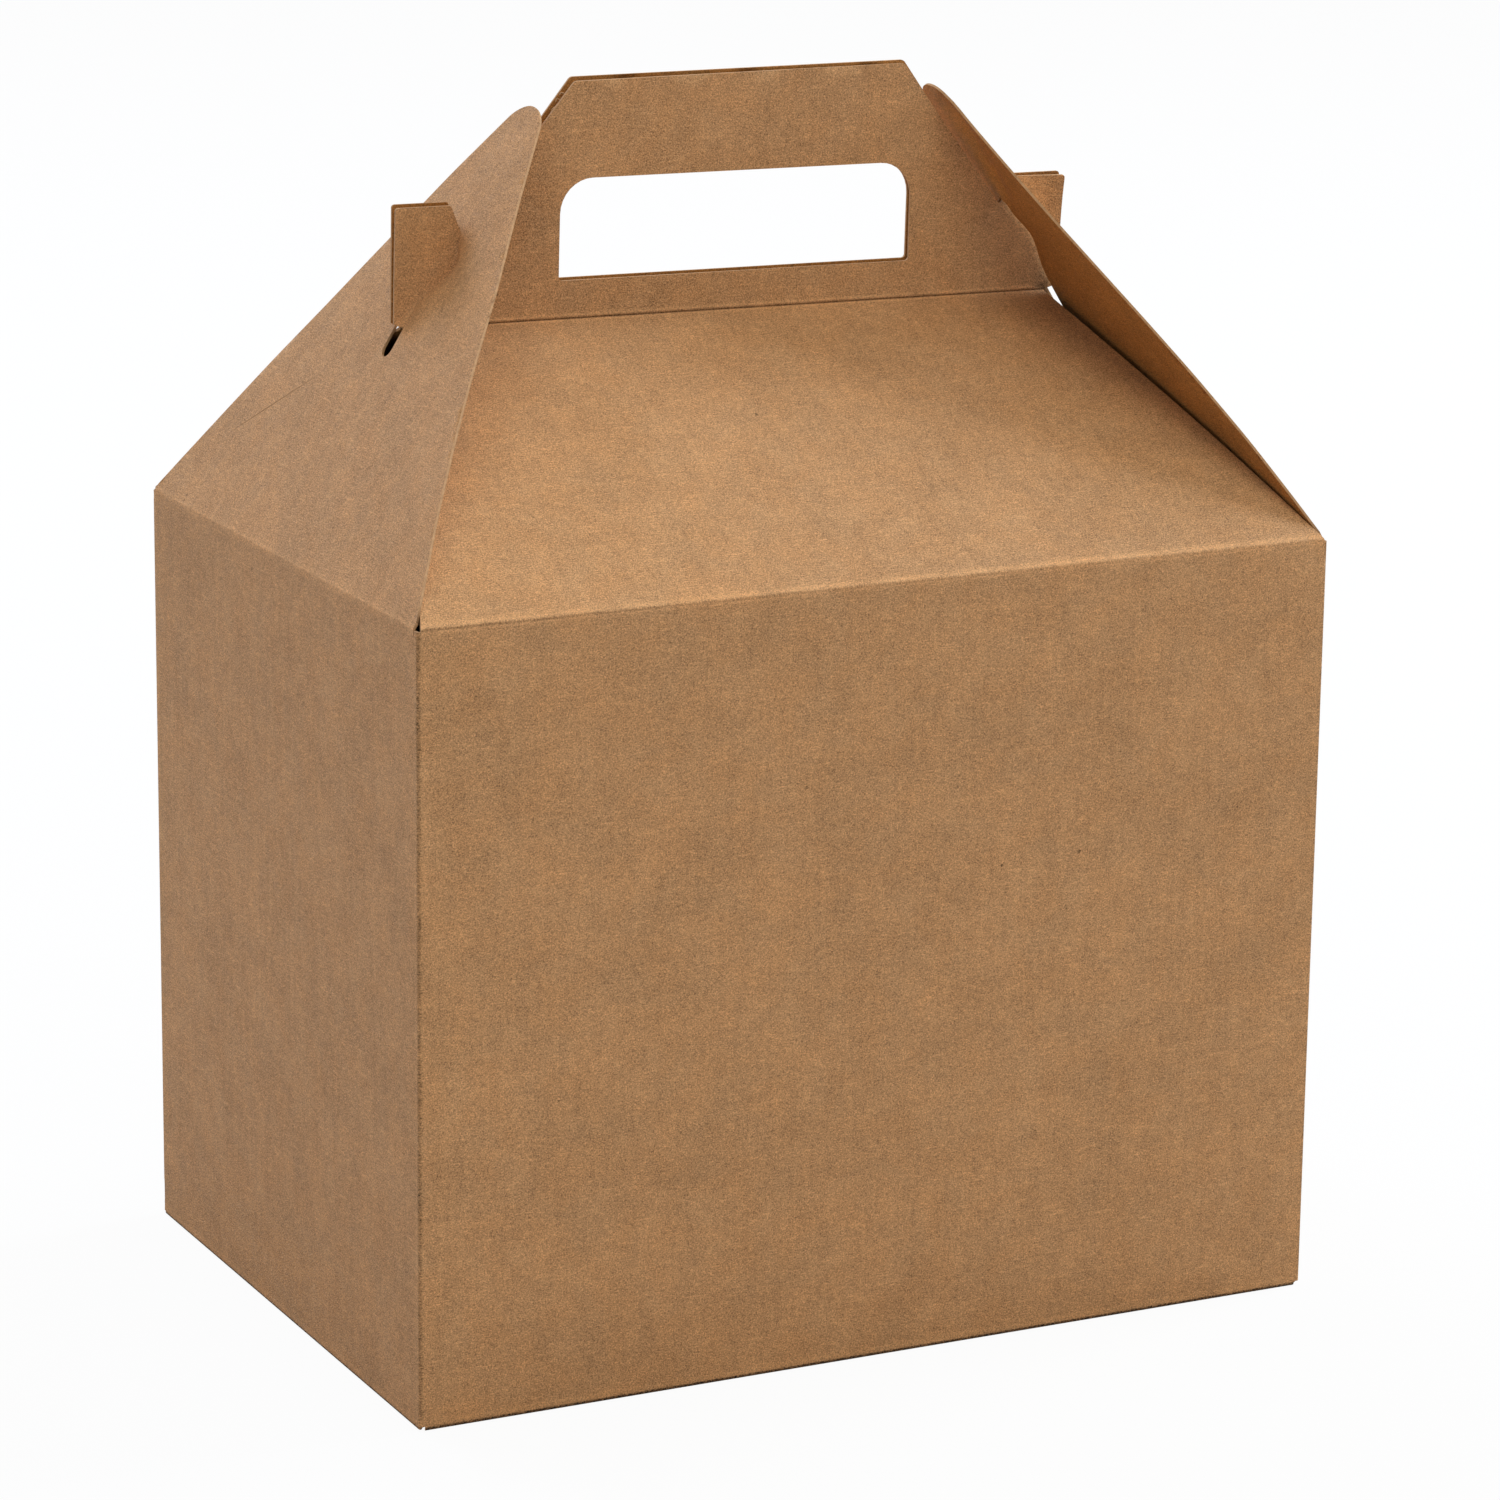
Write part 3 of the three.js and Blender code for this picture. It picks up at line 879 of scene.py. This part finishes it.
flap = {
    "baseWidth": 176.0,
    "length": 130.0,
    "tipRadius": 10.0,
    "slotEnd": 92.0,
    "slotWidth": 5.0,
    "foot": 1.6,                # the crease strip reaches this far up the flap
    "fit": 0.3,                 # room between a flap and the roof's sloping edge
    "creaseRadius": 0.7,
    "step": 2.5,
    "creaseStep": 3.0,
}
bend = {   # where an end flap bends round the handle: up its slope, and towards the front from its middle
    "lipLength": 6.8,
    "lipFrom": 2.5,
    "lipReach": 7.0,
    "curlAt": 5.5,
    "curlWidth": 3.4,
    "curlFrom": 88.0,
    "curlTo": 127.0,
    # painted light on the flap's curl: where, how wide, how far up, and how strong
    "paleAt": 3.6,
    "paleWidth": 2.4,
    "paleTo": 128.0,
    "curlLight": 0.2,
}
sides = {
    "left": {
        "sign": -1, "body": "left_flap", "node": "left_end_flap", "slotStart": 56.6,
        "lip": -4.1, "lipAt": 84.0, "curl": 0.0,
        "front": (0, 0.45, 1.15, 1.0, 0.4, -0.9, -1.3, -1.8, -3.2),
        "middle": (0, 0.1, 0.3, 0.45, 0.65, 0.3, -0.2, -0.9, -2.7),
        "back": (0, 0.1, 0.15, 0.1, -0.35, -0.6, -0.85, -1.1, -2.3)},
    "right": {
        "sign": 1, "body": "right_flap", "node": "right_end_flap", "slotStart": 54.0,
        "lip": 1.9, "lipAt": 79.0, "curl": 1.5,
        "front": (0, 0.6, 1.15, 0.9, 0.1, -1.0, -1.7, -2.3, -2.9),
        "middle": (0, 0.0, 0.1, 0.1, 0.0, -0.2, -0.5, -1.3, -2.7),
        "back": (0, 0.1, 0.15, 0.1, -0.35, -0.6, -0.85, -1.1, -2.3)},
}
liftAt = (0, 10, 27, 45, 62, 80, 92, 107, 130)   # where a flap's bend is given, up its slope

creaseInset = carton["halfWidth"] - carton["creaseWidth"] / 2
lean = math.atan2(carton["roofRise"], creaseInset)
lean += math.asin((carton["board"] + flap["fit"]) / math.hypot(creaseInset, carton["roofRise"]))
tipCentre = flap["length"] - flap["tipRadius"]
taper = math.atan2(flap["baseWidth"] / 2, tipCentre)
taper -= math.asin(flap["tipRadius"] / math.hypot(tipCentre, flap["baseWidth"] / 2))


def flapCreaseHalf():   # half the width of an end flap where its crease strip ends
    return flap["baseWidth"] / 2 - flap["foot"] * math.tan(taper)


def flapOutline():
    angles = np.linspace(taper - math.pi / 2, math.pi / 2 - taper, 17)
    tip = np.stack([tipCentre + flap["tipRadius"] * np.cos(angles), flap["tipRadius"] * np.sin(angles)], 1)
    half = flapCreaseHalf()
    return np.concatenate([[[flap["foot"], -half]], tip, [[flap["foot"], half]]])


def slotOutline(side):
    radius = flap["slotWidth"] / 2
    angles = np.linspace(math.pi / 2, 3 * math.pi / 2, 9)
    start = np.stack([side["slotStart"] + radius + radius * np.cos(angles), radius * np.sin(angles)], 1)
    end = np.stack([flap["slotEnd"] - radius - radius * np.cos(angles), -radius * np.sin(angles)], 1)
    return np.concatenate([start, end])


def smoothCurve(at, places, values):   # through the given values, with round bends between them
    count, reach = 131, 8
    dense = np.linspace(places[0], places[-1], count)
    level = np.interp(dense, places, values)
    padded = np.pad(level, reach, mode="edge")
    kernel = np.hanning(2 * reach + 1)
    smooth = np.convolve(padded, kernel / kernel.sum(), mode="valid")
    smooth -= (smooth[0] - level[0]) * (1 - np.arange(count) / (count - 1))
    return np.interp(at, dense, smooth)


def curlShare(u, rise, end):   # where a flap's tip curls round the handle, up its slope
    return np.clip((u - bend["curlFrom"]) / rise, 0, 1) * np.clip((end - u) / 8, 0, 1)


def flapLift(side, u, v):   # how far the flap stands out of its plane, with v positive towards the front
    edge = flap["baseWidth"] / 2 - u * math.tan(taper)
    share = np.clip(v / np.maximum(edge, 8), -1, 1)
    front, middle, back = (smoothCurve(u, liftAt, side[key]) for key in ("front", "middle", "back"))
    lift = middle + np.where(share > 0, front - middle, back - middle) * share ** 2
    fade = np.exp(-np.clip(v - bend["lipFrom"], 0, None) / bend["lipReach"]) * (v > 0)
    lip = bump(u - side["lipAt"], bend["lipLength"]) * fade
    curl = bump(v - bend["curlAt"], bend["curlWidth"]) * curlShare(u, 12, bend["curlTo"])
    return lift + side["lip"] * lip + side["curl"] * curl


def flapPlace(side, u, v, lift):   # v as in the world's Y
    sign = side["sign"]
    out = lift - carton["board"] / 2
    x = sign * (carton["halfWidth"] - u * math.cos(lean) + out * math.sin(lean))
    z = carton["wallHeight"] + u * math.sin(lean) + out * math.cos(lean)
    return np.stack([x, v, z], 1)


def makeFlap(name):
    side = sides[name]
    sign = side["sign"]

    def fold(points):   # the first flat axis runs round the box, so that the board's outside faces out
        y = sign * points[:, 0]
        return flapPlace(side, points[:, 1], y, flapLift(side, points[:, 1], -y))

    def tone(points):   # painted light where the board curls round the edge of the handle and turns towards the light
        u, v = points[:, 1], -sign * points[:, 0]
        curlLight = bump(v - bend["paleAt"], bend["paleWidth"]) * curlShare(u, 8, bend["paleTo"])
        return bend["curlLight"] * side["curl"] * curlLight

    outlines = [flapOutline()[:, ::-1], slotOutline(side)[:, ::-1]]
    flat = flatMesh(outlines, flap["step"])
    piece = boardObject(name + "Flap", flat, fold, boardMaterials, tone)
    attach(piece, side["body"])
    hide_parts(side["node"])


def makeFlapCrease(name):   # the strip of board that bends between a side wall and its flap
    side = sides[name]
    sign = side["sign"]
    half = carton["board"] / 2
    foot = np.array([half, sideTop])
    slope = np.array([math.cos(lean), math.sin(lean)])
    start = np.array([half * math.sin(lean), carton["wallHeight"] - half * math.cos(lean)])
    top = start + slope * flap["foot"]
    reach = (half - start[0]) / slope[0]
    corner = start + slope * reach
    radius = flap["creaseRadius"]
    line = foldedLine([foot, corner, top], radius)
    length = line["end"]
    halfSpan = flapCreaseHalf()

    def fold(points):
        depth, height = along(line, points[:, 1])
        return np.stack([sign * (carton["halfWidth"] - depth), sign * points[:, 0], height], 1)

    def tone(points):
        return band("flapFold", points[:, 1] - line["folds"][0].mean())

    outline = np.array([(-halfSpan, 0), (halfSpan, 0), (halfSpan, length), (-halfSpan, length)])
    rows = [float(r) for r in line["folds"][0]]
    flat = flatMesh([outline], flap["creaseStep"], (), rows)
    piece = boardObject(name + "FlapCrease", flat, fold, boardMaterials, tone)
    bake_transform(piece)


makeCarton()
print("carton folded")
for sideName in sides:
    makeFlap(sideName)
    makeFlapCrease(sideName)
print("end flaps made")


# Small torn fibres, as lines of points that a tapering sliver follows

fibres = {
    "handleFibres": {"body": "box", "slot": "kraft_body", "width": 0.45, "thick": 0.2, "lines": (
        ((-48.7, -0.7, 315.4), (-49.7, -1.1, 315.7), (-50.3, -1.5, 315.1)),
        ((-49.7, -0.7, 313.8), (-50.9, -1.2, 314.3), (-51.4, -1.7, 313.5)),
        ((-51.1, -0.8, 312.0), (-52.2, -1.3, 311.7), (-52.6, -1.4, 310.8)))},
    "flapFibres": {"body": "left_flap", "slot": "kraft_flap", "width": 0.5, "thick": 0.2, "lines": (
        ((79.8, -0.4, 0.2), (80.1, 0.5, 0.3), (80.7, 0.9, 0.4), (81.1, 0.7, 0.5)),
        ((76.4, -0.4, 0.2), (76.2, 0.5, 0.3), (76.5, 1.1, 0.4), (77.2, 1.5, 0.5)))},
}


def besideFlap(side, points):   # points by their way up the slope, out from the front edge and off the board
    u, out, off = np.array(points).T
    v = flap["baseWidth"] / 2 - u * math.tan(taper) + out
    return flapPlace(side, u, -v, flapLift(side, u, v) + off)


def makeFibres(name, group):
    points, faces = [], []
    for line in group["lines"]:
        line = besideFlap(sides["left"], line) if group["body"] == "left_flap" else np.array(line)
        way = np.gradient(line, axis=0)
        across = np.cross(way, (0.3, -1, 0.2))
        across /= np.linalg.norm(across, axis=1, keepdims=True)
        out = np.cross(across, way)
        out /= np.linalg.norm(out, axis=1, keepdims=True)
        width = np.linspace(0.5, 0.12, len(line))[:, None] * group["width"]
        first = len(points)
        for ring in zip(line + across * width, line - across * width, line + out * group["thick"]):
            points.extend(ring)
        faces += [(first, first + 1, first + 2), tuple(len(points) - i for i in (1, 2, 3))]
        for start in range(first, len(points) - 3, 3):
            for a, b in ((0, 1), (1, 2), (2, 0)):
                faces.append((start + b, start + a, start + 3 + a, start + 3 + b))
    mesh = bpy.data.meshes.new(name)
    mesh.from_pydata((np.array(points) * mm).tolist(), [], faces)
    mesh.materials.append(boardMaterials[2])
    piece = bpy.data.objects.new(name, mesh)
    scene.collection.objects.link(piece)
    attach(piece, group["body"])


for groupName, fibreGroup in fibres.items():
    makeFibres(groupName, fibreGroup)
print("torn fibres made")


# Floor, light and background

stage = {
    "floorColor": 0.64,
    "floorSize": 6.0,
    "whiteShare": 0.95,         # how much of the floor the camera sees as plain white
    "skyColor": (0.448, 0.406, 0.376),
    "lampAim": (0, 0, 0.15),
}
lamps = {
    "topLamp": {"place": (0, 0, 2.6), "size": 1.6, "power": 10.0, "color": (0.93, 1.0, 0.98)},
    "frontLamp": {"place": (0, -1.7, 2.1), "size": 1.4, "power": 11.0, "color": (1.0, 0.93, 0.75)},
    "rightLamp": {"place": (2.4, 0.2, 1.4), "size": 1.4, "power": 81.4, "color": (0.75, 0.87, 1.0)},
    "backLamp": {"place": (-0.5, 2.0, 1.8), "size": 1.4, "power": 47.0, "color": (0.60, 0.74, 1.0)},
}


def makeStage():
    half = stage["floorSize"] / 2
    mesh = bpy.data.meshes.new("floor")
    corners = [(-half, -half, 0), (half, -half, 0), (half, half, 0), (-half, half, 0)]
    mesh.from_pydata(corners, [], [(0, 1, 2, 3)])
    floor = bpy.data.objects.new("floor", mesh)
    scene.collection.objects.link(floor)
    material = bpy.data.materials.new("floorPaper")
    material.use_nodes = True
    tree = material.node_tree
    tree.nodes.clear()
    level = stage["floorColor"]
    paper = addNode(tree, "BsdfDiffuse", {"Color": (level, level, level, 1)})
    white = addNode(tree, "Emission", {"Color": (1, 1, 1, 1), "Strength": 1.0})
    path = addNode(tree, "LightPath")
    seen = path.outputs["Is Camera Ray"]
    share = addNode(tree, "Math", {0: seen, 1: stage["whiteShare"]}, operation="MULTIPLY")
    mixed = addNode(tree, "MixShader", {0: share.outputs[0], 1: paper.outputs[0], 2: white.outputs[0]})
    output = addNode(tree, "OutputMaterial", {"Surface": mixed.outputs[0]})
    output.is_active_output = True
    mesh.materials.append(material)


def makeLight():
    for name, lamp in lamps.items():
        data = bpy.data.lights.new(name, "AREA")
        data.shape = "DISK"
        data.size = lamp["size"]
        data.energy = lamp["power"]
        data.color = lamp["color"]
        light = bpy.data.objects.new(name, data)
        light.location = lamp["place"]
        aim = Vector(stage["lampAim"]) - light.location
        light.rotation_euler = aim.to_track_quat("-Z", "Y").to_euler()
        scene.collection.objects.link(light)
    world = bpy.data.worlds.new("studio")
    scene.world = world
    world.use_nodes = True
    tree = world.node_tree
    tree.nodes.clear()
    path = addNode(tree, "LightPath")
    seen = addNode(tree, "Math", {
        0: path.outputs["Is Camera Ray"], 1: path.outputs["Is Transmission Ray"]}, operation="MAXIMUM")
    sky = addNode(tree, "Background", {"Color": (*stage["skyColor"], 1), "Strength": 1.0})
    white = addNode(tree, "Background", {"Color": (1, 1, 1, 1), "Strength": 1.0})
    mixed = addNode(tree, "MixShader", {0: seen.outputs[0], 1: sky.outputs[0], 2: white.outputs[0]})
    addNode(tree, "OutputWorld", {"Surface": mixed.outputs[0]})


makeStage()
makeLight()
print("stage and light set")
